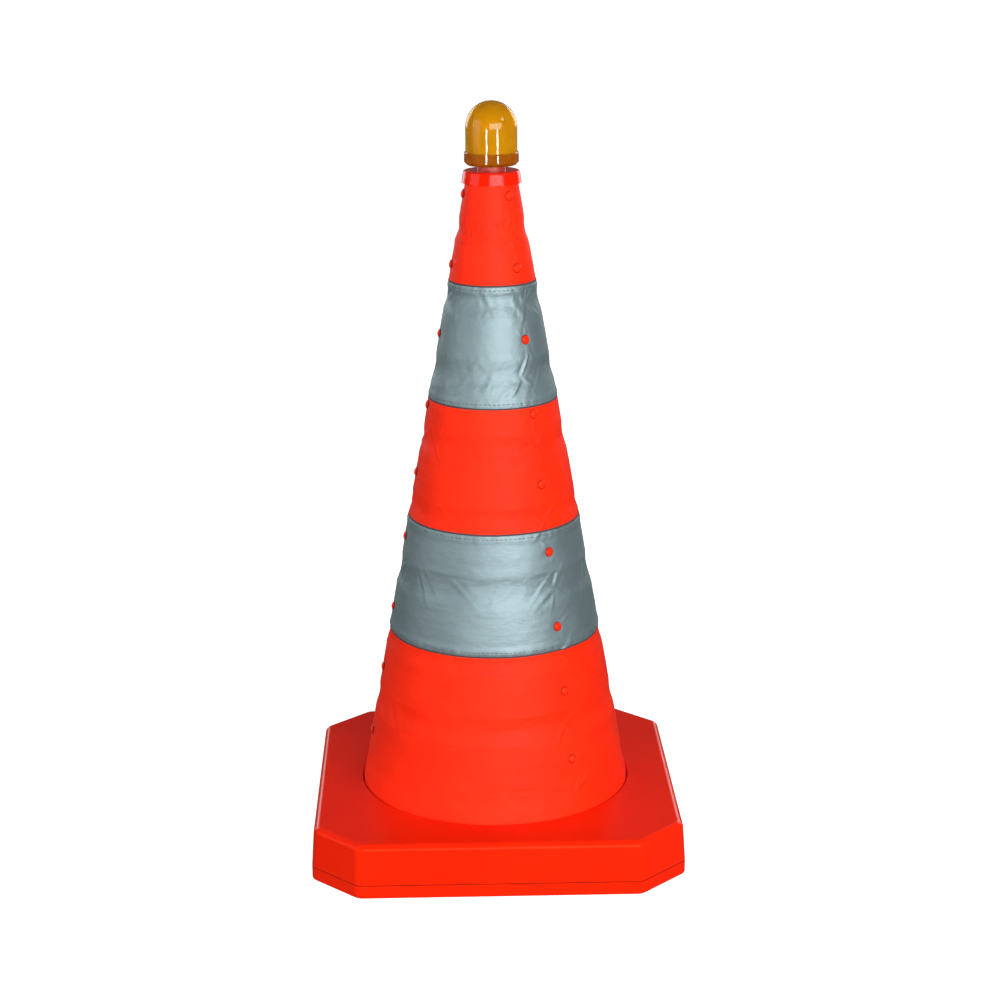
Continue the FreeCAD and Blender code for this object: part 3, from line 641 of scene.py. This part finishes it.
def add_seams(offset, angles, heights):
    """The grey bands' folded edges, the groove at each seam and the puckers along its stitches."""
    arc = angles[None, :]
    for number, seam in enumerate(SEAM_HEIGHTS):
        inward = 1.0 if number % 2 == 0 else -1.0
        depth = (heights - seam) * inward
        inner_side = np.clip(1 - (depth - TURNED_EDGE_WIDTH) / TURNED_EDGE_FADE, 0, 1)
        edge = np.clip(depth / SEAM_GROOVE_WIDTH, 0, 1) * inner_side
        offset += (TURNED_EDGE_RISE * edge)[:, None]
        offset += (SEAM_GROOVE_DEPTH * np.exp(-(depth / SEAM_GROOVE_WIDTH) ** 2))[:, None]
        count = int(FULL_TURN * cone_radius(seam) / PUCKER_PITCH)
        drift = PUCKER_DRIFT * np.sin(PUCKER_DRIFTS_ROUND * arc + number)
        pucker = np.sin(count * arc + drift) + LONG_PUCKER_SHARE * np.sin((count // 2) * arc)
        offset += PUCKER_HEIGHT * pucker * np.exp(-((heights - seam) / PUCKER_REACH) ** 2)[:, None]


CLOSING_SEAM_ANGLE = math.pi / 2
CLOSING_SEAM_WIDTH = 10 * MM
CLOSING_SEAM_RISE = 0.35 * MM
CLOSING_SEAM_FADE = 0.8 * MM


def lowest_offsets(heights):
    """How far in the cloth can go: it lies on each ring, and slants away from the ring's edges."""
    lowest = np.full(len(heights), DEEPEST)
    for low, high in zip(RING_LOWS + [HEAD_LOW], RING_HIGHS + [SLEEVE_TOP]):
        outside = np.maximum(np.maximum(low - heights, heights - high) - RING_EDGE_MARGIN, 0)
        lowest = np.maximum(lowest, LOWEST_ON_RING - SLANT_OFF_RING * outside)
    return lowest


CREASE_HEIGHT = 0.18 * MM
CREASE_SINK = 0.03 * MM
CREASE_SHARPNESS = 3.0


def eased(free, on_ring):
    """How strong a wrinkle is at each height: full where the cloth is free, less on a ring."""
    return (on_ring + (1 - on_ring) * free)[:, None]


def sleeve_offsets(angles, heights):
    """Radial offset of the whole sleeve from the straight cone."""
    profile_heights, profile = ring_profile()
    base = np.interp(heights, profile_heights, profile)
    free = slack_share(heights)
    offset = np.repeat(base[:, None], len(angles), axis=1)
    dragged = np.zeros_like(offset)
    add_drag_folds(dragged, angles, heights)
    offset += dragged * eased(free, on_ring=0.3)
    add_rivet_pulls(offset, angles, heights)
    swells = ripples(angles, heights, count=26, waves_round=9, waves_up=14, amplitude=0.20 * MM)
    offset += swells * eased(free, on_ring=0.25)
    crinkles = ripples(angles, heights, count=40, waves_round=34, waves_up=70, amplitude=0.07 * MM)
    offset += crinkles * eased(free, on_ring=0.45)
    troughs = np.abs(ripples(angles, heights, count=30, waves_round=22, waves_up=95, amplitude=1.0))
    creases = CREASE_HEIGHT * np.exp(-troughs * CREASE_SHARPNESS) - CREASE_SINK
    offset += creases * eased(free, on_ring=0.4)
    add_seams(offset, angles, heights)
    radius = cone_radius(heights)[:, None]
    aside = np.abs(wrapped(angles[None, :] - CLOSING_SEAM_ANGLE)) * radius
    offset += CLOSING_SEAM_RISE * np.clip((CLOSING_SEAM_WIDTH / 2 - aside) / CLOSING_SEAM_FADE, 0, 1)
    return np.maximum(offset, lowest_offsets(heights)[:, None])


def spans():
    """The sleeve's spans between bodies: (body below, body above, foot, bend start, bend end, top)."""
    bodies = ["base"] + ["ring_%d" % n for n in range(1, RING_COUNT + 1)] + ["head"]
    feet = [HEM_LOW] + RING_HIGHS
    starts = [BASE_TOP] + RING_HIGHS
    ends = RING_LOWS + [HEAD_LOW]
    tops = RING_HIGHS + [SLEEVE_TOP]
    return list(zip(bodies, bodies[1:], feet, starts, ends, tops))


PANELS = [
    ("sleeve_bottom_panel", "orange_fabric", HEM_LOW, SEAM_HEIGHTS[0]),
    ("sleeve_lower_band", "reflective_band", SEAM_HEIGHTS[0], SEAM_HEIGHTS[1]),
    ("sleeve_middle_panel", "orange_fabric", SEAM_HEIGHTS[1], SEAM_HEIGHTS[2]),
    ("sleeve_upper_band", "reflective_band", SEAM_HEIGHTS[2], SEAM_HEIGHTS[3]),
    ("sleeve_top_panel", "orange_fabric", SEAM_HEIGHTS[3], SLEEVE_TOP),
]


def sleeve_pieces():
    """Every stretch of one panel in one span: name, panel, slot, span and its two heights."""
    found = []
    for panel, slot, panel_low, panel_high in PANELS:
        count = 0
        for span in spans():
            _, _, foot, _, _, top = span
            low = max(panel_low, foot)
            high = min(panel_high, top)
            if high - low > SHORTEST_PIECE:
                count += 1
                found.append(("%s_part_%d" % (panel, count), panel, slot, span, low, high))
    return found


def sleeve_rows(pieces):
    """Row heights, with a row exactly at each end of each piece."""
    rows = []
    for *_, low, high in pieces:
        steps = max(FEWEST_ROW_STEPS, int(round((high - low) / ROW_STEP)))
        rows.extend(np.linspace(low, high, steps + 1)[:-1])
    rows.append(high)
    return np.array(rows)


def grid_normals(points):
    """Smooth normals of a grid that closes round."""
    round_way = np.roll(points, -1, axis=1) - np.roll(points, 1, axis=1)
    up_way = np.gradient(points, axis=0)
    normals = np.cross(round_way, up_way)
    return normals / np.linalg.norm(normals, axis=2, keepdims=True)


def cloth_mesh(name, points, normals, angles, heights):
    """Mesh of some rows of the grid, closed round, with UVs in metres along the cloth."""
    rows, columns = points.shape[:2]
    vertices = points.reshape(-1, 3)
    faces = []
    for row in range(rows - 1):
        here, above = row * columns, (row + 1) * columns
        for column in range(columns):
            beside = (column + 1) % columns
            faces.append((here + column, here + beside, above + beside, above + column))
    mesh = bpy.data.meshes.new(name)
    mesh.from_pydata(vertices.tolist(), [], faces)
    mesh.polygons.foreach_set("use_smooth", [True] * len(faces))
    uv = mesh.uv_layers.new(name="cloth")
    mean_radius = float(cone_radius(heights.mean()))
    corners = np.array(faces)
    column_of = corners % columns
    row_of = corners // columns
    turn = angles[column_of]
    last = column_of[:, :1] == columns - 1
    turn = np.where(last & (column_of == 0), turn + FULL_TURN, turn)
    flat = np.stack([turn * mean_radius, heights[row_of] * SLANT], axis=2)
    uv.data.foreach_set("uv", flat.reshape(-1).astype(np.float32))
    mesh.normals_split_custom_set_from_vertices(normals.reshape(-1, 3).tolist())
    return mesh


def put(name, mesh, material):
    """An object in the scene with one material."""
    thing = bpy.data.objects.new(name, mesh)
    bpy.context.scene.collection.objects.link(thing)
    thing.data.materials.append(material)
    return thing


# ---------------------------------------------------------------- stitching

STITCH_PITCH = 4.2 * MM
STITCH_LENGTH = 3.1 * MM
STITCH_RADIUS = 0.32 * MM
STITCH_SIDES = 6
STITCH_STATIONS = (  # share of the length, lift in mm, share of the thread's radius
    (0.0, -0.30, 0.55),
    (0.14, 0.10, 0.95),
    (0.5, 0.22, 1.0),
    (0.86, 0.10, 0.95),
    (1.0, -0.30, 0.55),
)
SEAM_STITCH_INSET = 4.0 * MM
CLOSING_STITCH_INSET = 2 * MM
BAND_EDGE_SECTION = ((-0.95, 0.02), (-0.6, 0.36), (0.2, 0.40), (0.6, 0.05))  # rise and lift in mm


class Surface:
    """The finished sleeve, to read points and normals from."""

    def __init__(self, angles, heights, points, normals):
        self.angles = angles
        self.heights = heights
        self.points = points
        self.normals = normals

    def at(self, angle, height):
        """Point and normal at an angle and a height."""
        column = (angle - self.angles[0]) / FULL_TURN * len(self.angles)
        left = int(math.floor(column)) % len(self.angles)
        right = (left + 1) % len(self.angles)
        share = column - math.floor(column)
        row = float(np.interp(height, self.heights, np.arange(len(self.heights))))
        below = min(int(row), len(self.heights) - 2)
        rise = row - below
        corner_shares = (
            (below, left, (1 - rise) * (1 - share)), (below, right, (1 - rise) * share),
            (below + 1, left, rise * (1 - share)), (below + 1, right, rise * share),
        )
        point = sum(self.points[i, j] * weight for i, j, weight in corner_shares)
        normal = sum(self.normals[i, j] * weight for i, j, weight in corner_shares)
        return Vector(point), Vector(normal).normalized()


def stitch(vertices, faces, start, end, normal):
    """One stitch: a bowed thread that dips into the cloth at both ends."""
    along = end - start
    side = along.cross(normal).normalized()
    first = len(vertices)
    for share, lift, girth in STITCH_STATIONS:
        centre = start + along * share + normal * lift * MM
        for corner in range(STITCH_SIDES):
            turn = FULL_TURN * corner / STITCH_SIDES
            spoke = side * math.cos(turn) + normal * math.sin(turn)
            vertices.append(centre + spoke * STITCH_RADIUS * girth)
    for ring in range(len(STITCH_STATIONS) - 1):
        for corner in range(STITCH_SIDES):
            beside = (corner + 1) % STITCH_SIDES
            low, high = first + ring * STITCH_SIDES, first + (ring + 1) * STITCH_SIDES
            faces.append((low + corner, high + corner, high + beside, low + beside))
    faces.append(tuple(first + corner for corner in range(STITCH_SIDES)))
    last = first + (len(STITCH_STATIONS) - 1) * STITCH_SIDES
    faces.append(tuple(last + corner for corner in reversed(range(STITCH_SIDES))))


def stitch_lines(low, high, panel):
    """Stitches of one piece: round lines beside its panel's seams, and two down the closing seam."""
    found = []
    panel_low, panel_high = next((foot, top) for name, _, foot, top in PANELS if name == panel)
    if "band" in panel:
        levels = (panel_low + SEAM_STITCH_INSET, panel_high - SEAM_STITCH_INSET)
        for level in levels:
            if low < level < high:
                count = int(FULL_TURN * cone_radius(level) / STITCH_PITCH)
                half = STITCH_LENGTH / 2 / cone_radius(level)
                for i in range(count):
                    angle = FULL_TURN * i / count
                    found.append(((angle - half, level), (angle + half, level)))
    from_height = max(low, BASE_TOP)
    count = int((high - from_height) / STITCH_PITCH)
    for i in range(count):
        height = from_height + (i + 0.5) * STITCH_PITCH
        for side in SIDES:
            aside = side * (CLOSING_SEAM_WIDTH / 2 - CLOSING_STITCH_INSET)
            angle = CLOSING_SEAM_ANGLE + aside / cone_radius(height)
            found.append(((angle, height - STITCH_LENGTH / 2), (angle, height + STITCH_LENGTH / 2)))
    return found


def painted_shade_band_edge(vertices, faces, surface, seam):
    """The turned edge of a grey band at a seam: a low bead all the way round, which carries the near-black
    painted shade of the seam.
    """
    first = len(vertices)
    for angle in surface.angles:
        for rise, lift in BAND_EDGE_SECTION:
            point, normal = surface.at(angle, seam + rise * MM)
            vertices.append(point + normal * lift * MM)
    count = len(surface.angles)
    for column in range(count):
        here = first + column * len(BAND_EDGE_SECTION)
        beside = first + (column + 1) % count * len(BAND_EDGE_SECTION)
        for i in range(len(BAND_EDGE_SECTION) - 1):
            faces.append((here + i, beside + i, beside + i + 1, here + i + 1))


def make_trim(name, surface, low, high, panel):
    """The stitches of one piece of the sleeve, and the turned edges of its grey band, which are coloured
    near-black as painted shade.
    """
    vertices, faces = [], []
    for start, end in stitch_lines(low, high, panel):
        first, normal = surface.at(*start)
        last, _ = surface.at(*end)
        stitch(vertices, faces, first, last, normal)
    stitch_faces = len(faces)
    is_band = "band" in panel
    if is_band:
        for seam in (low, high):
            if seam in SEAM_HEIGHTS:
                painted_shade_band_edge(vertices, faces, surface, seam)
    mesh = bpy.data.meshes.new(name)
    mesh.from_pydata([tuple(vertex) for vertex in vertices], [], faces)
    mesh.polygons.foreach_set("use_smooth", [True] * len(faces))
    mesh.polygons.foreach_set("material_index", [0] * stitch_faces + [1] * (len(faces) - stitch_faces))
    thing = put(name, mesh, GREY_THREAD if is_band else ORANGE_THREAD)
    # The beads get the near-black painted shade
    thing.data.materials.append(PAINTED_SEAM_SHADE)
    return thing


def make_sleeve():
    """The five panels, cut where one body's cloth meets the next, with their stitching."""
    pieces = sleeve_pieces()
    heights = sleeve_rows(pieces)
    angles = np.arange(COLUMNS) * FULL_TURN / COLUMNS
    radius = cone_radius(heights)[:, None] + sleeve_offsets(angles, heights)
    hem = heights < BASE_TOP
    radius[hem] = np.minimum(radius[hem], cone_radius(BASE_TOP) - HEM_CLEARANCE)
    points = np.stack([
        radius * np.cos(angles)[None, :], radius * np.sin(angles)[None, :],
        np.repeat(heights[:, None], COLUMNS, axis=1),
    ], axis=2)
    normals = grid_normals(points)
    surface = Surface(angles, heights, points, normals)
    for name, panel, slot, span, low, high in pieces:
        rows = (heights > low - ROW_TOLERANCE) & (heights < high + ROW_TOLERANCE)
        mesh = cloth_mesh(name, points[rows], normals[rows], angles, heights[rows])
        cloth = put(name, mesh, MATERIAL_OF_SLOT[slot])
        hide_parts(panel)
        trim = make_trim("trim_" + name, surface, low, high, panel)
        for thing in (cloth, trim):
            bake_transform(thing)


# ---------------------------------------------------------------- spring

SPRING_TURNS = 9
SPRING_DEAD_TURNS = 1
SPRING_WIRE_RADIUS = 1.25 * MM
SPRING_RADII = (100 * MM, 18 * MM)
SPRING_RUNS = 40
SPRING_SIDES = 10
SPRING_SPLIT_RADIUS = 25 * MM


def spring_wire(name, body, first_turn, last_turn, rest):
    """One stretch of the conical lift spring, fixed to one body."""
    low, high = rest
    count = int(round((last_turn - first_turn) * SPRING_RUNS))
    vertices, faces = [], []
    for i in range(count + 1):
        turn = first_turn + i / SPRING_RUNS
        climb = min(max((turn - SPRING_DEAD_TURNS) / SPRING_TURNS, 0.0), 1.0)
        radius = SPRING_RADII[0] + (SPRING_RADII[1] - SPRING_RADII[0]) * climb
        rise = low + SPRING_WIRE_RADIUS + (high - low - 2 * SPRING_WIRE_RADIUS) * climb
        out = Vector((math.cos(FULL_TURN * turn), math.sin(FULL_TURN * turn), 0))
        for side in range(SPRING_SIDES):
            angle = FULL_TURN * side / SPRING_SIDES
            spoke = out * math.cos(angle) + Vector((0, 0, 1)) * math.sin(angle)
            vertices.append(out * radius + Vector((0, 0, rise)) + spoke * SPRING_WIRE_RADIUS)
    for i in range(count):
        here, ahead = i * SPRING_SIDES, (i + 1) * SPRING_SIDES
        for side in range(SPRING_SIDES):
            beside = (side + 1) % SPRING_SIDES
            faces.append((here + side, here + beside, ahead + beside, ahead + side))
    faces.append(tuple(reversed(range(SPRING_SIDES))))
    faces.append(tuple(count * SPRING_SIDES + side for side in range(SPRING_SIDES)))
    mesh = bpy.data.meshes.new(name)
    mesh.from_pydata([tuple(vertex) for vertex in vertices], [], faces)
    mesh.polygons.foreach_set("use_smooth", [True] * len(faces))
    spring = put(name, mesh, SPRING_STEEL)
    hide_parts("lift_spring")
    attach(spring, body)
    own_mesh(spring)


def make_spring():
    """The lift spring: its wide coils go with the base, and its last coils stay up in the head."""
    low, high = (corner.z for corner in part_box("lift_spring"))
    share = (SPRING_RADII[0] - SPRING_SPLIT_RADIUS) / (SPRING_RADII[0] - SPRING_RADII[1])
    split = SPRING_DEAD_TURNS + round(share * SPRING_TURNS * SPRING_RUNS) / SPRING_RUNS
    last = SPRING_TURNS + 2 * SPRING_DEAD_TURNS
    rest = (low, high)
    spring_wire("lift_spring_coils", "base", 0, split, rest)
    spring_wire("lift_spring_top", "head", split, last, rest)


# ---------------------------------------------------------------- floor, lights, camera

WHITE = (1.0, 1.0, 1.0, 1.0)
LOOK_AT = Vector((0, 0, 0.36))
LENS_LIGHT_HEIGHT = 0.40
FLOOR_RADIUS = 7.0
SWEEP_RADIUS = 3.0
SWEEP_STEPS = 16
WALL_TOP = 9.0
FLOOR_SIDES = 96
LIGHTS = (  # name, azimuth in degrees, height, distance, panel size, power in watts
    ("key", 18, 1.05, 2.6, (2.6, 1.1), 78),
    ("left_fill", -72, 1.1, 2.6, (2.0, 1.6), 21),
    ("right_fill", 60, 2.2, 2.4, (0.5, 0.5), 9),
    ("left_back", -145, 1.1, 2.8, (1.6, 1.4), 20),
    ("right_back", 145, 1.1, 2.8, (1.6, 1.4), 20),
)
STRIPS = (("left_strip", -22), ("right_strip", 26))  # name, azimuth in degrees
STRIP_DISTANCE = 2.2
STRIP_SIZE = (0.15, 0.16)
STRIP_POWER = 9.0
WORLD_STRENGTH = 0.12


def make_floor():
    """Plain pale floor that sweeps up into a wall all round, like a studio's."""
    material, tree, shader = new_material("floor_paint")
    where = place(tree, "Object")
    paint = drifting(tree, noise(tree, where, 3.0), (0.50, 0.50, 0.50), (0.53, 0.53, 0.53))
    tree.links.new(paint, shader.inputs["Base Color"])
    shader.inputs["Roughness"].default_value = 0.9
    shader.inputs["Specular IOR Level"].default_value = 0.1
    shader.inputs["Emission Color"].default_value = WHITE
    shader.inputs["Emission Strength"].default_value = 1.0
    profile = [(FLOOR_RADIUS, 0.0)]
    for step in range(1, SWEEP_STEPS + 1):
        turn = FULL_TURN / 4 * step / SWEEP_STEPS
        out = FLOOR_RADIUS + SWEEP_RADIUS * math.sin(turn)
        profile.append((out, SWEEP_RADIUS * (1 - math.cos(turn))))
    profile.append((FLOOR_RADIUS + SWEEP_RADIUS, WALL_TOP))
    vertices = [(0.0, 0.0, 0.0)]
    for radius, height in profile:
        for side in range(FLOOR_SIDES):
            turn = FULL_TURN * side / FLOOR_SIDES
            vertices.append((radius * math.cos(turn), radius * math.sin(turn), height))
    faces = [(0, 1 + side, 1 + (side + 1) % FLOOR_SIDES) for side in range(FLOOR_SIDES)]
    for level in range(len(profile) - 1):
        here, above = 1 + level * FLOOR_SIDES, 1 + (level + 1) * FLOOR_SIDES
        for side in range(FLOOR_SIDES):
            beside = (side + 1) % FLOOR_SIDES
            faces.append((here + side, above + side, above + beside, here + beside))
    mesh = bpy.data.meshes.new("floor")
    mesh.from_pydata(vertices, [], faces)
    mesh.polygons.foreach_set("use_smooth", [True] * len(faces))
    floor = put("floor", mesh, material)
    floor.visible_diffuse = False
    floor.visible_glossy = False
    floor.visible_shadow = False


def soft_light(name, azimuth, height, distance, size, power, aim=LOOK_AT):
    """A rectangular soft light; azimuth 0 stands in front of the object, and positive to its right."""
    data = bpy.data.lights.new(name, "AREA")
    data.shape = "RECTANGLE"
    data.size, data.size_y = size
    data.energy = power
    light = bpy.data.objects.new(name, data)
    turn = math.radians(azimuth)
    light.location = (distance * math.sin(turn), -distance * math.cos(turn), height)
    light.rotation_mode = "QUATERNION"
    light.rotation_quaternion = (aim - light.location).to_track_quat("-Z", "Y")
    bpy.context.scene.collection.objects.link(light)


def make_lights():
    """Plain soft studio light: a broad key by the camera, fills at the sides and behind, and two
    small lights that the lens shows as bright lines."""
    world = bpy.data.worlds.new("studio")
    world.use_nodes = True
    background = world.node_tree.nodes["Background"]
    background.inputs["Color"].default_value = WHITE
    background.inputs["Strength"].default_value = WORLD_STRENGTH
    bpy.context.scene.world = world
    for name, azimuth, height, distance, size, power in LIGHTS:
        soft_light(name, azimuth, height, distance, size, power)
    lens_level = Vector((0, 0, LENS_LIGHT_HEIGHT))
    for name, azimuth in STRIPS:
        soft_light(name, azimuth, LENS_LIGHT_HEIGHT, STRIP_DISTANCE, STRIP_SIZE, STRIP_POWER, lens_level)


def make_camera():
    """The camera, at the photograph's viewing angle; lengths in metres, angles in radians."""
    distance, height, aside = 2.0447, 0.9087, 0.0096
    pitch, yaw, roll = 0.2772, -0.0017, -0.0054
    base_turn = 0.0285
    data = bpy.data.cameras.new("camera")
    data.sensor_width = 36.0
    data.lens = 81.17
    data.clip_start, data.clip_end = 0.05, 100.0
    camera = bpy.data.objects.new("camera", data)
    forward = Vector((math.sin(yaw) * math.cos(pitch), math.cos(yaw) * math.cos(pitch),
                      -math.sin(pitch)))
    right = Vector((math.cos(yaw), -math.sin(yaw), 0))
    up = right.cross(forward)
    rolled_right = right * math.cos(roll) + up * math.sin(roll)
    rolled_up = up * math.cos(roll) - right * math.sin(roll)
    axes = Matrix((rolled_right, rolled_up, -forward)).transposed().to_4x4()
    spot = Matrix.Translation(Vector((aside, -distance, height)))
    camera.matrix_world = Matrix.Rotation(-base_turn, 4, "Z") @ spot @ axes
    bpy.context.scene.collection.objects.link(camera)
    bpy.context.scene.camera = camera
    bpy.context.scene.view_settings.view_transform = "Standard"


make_camera()
make_floor()
make_lights()
finish_cad_nodes()
make_sleeve()
make_spring()
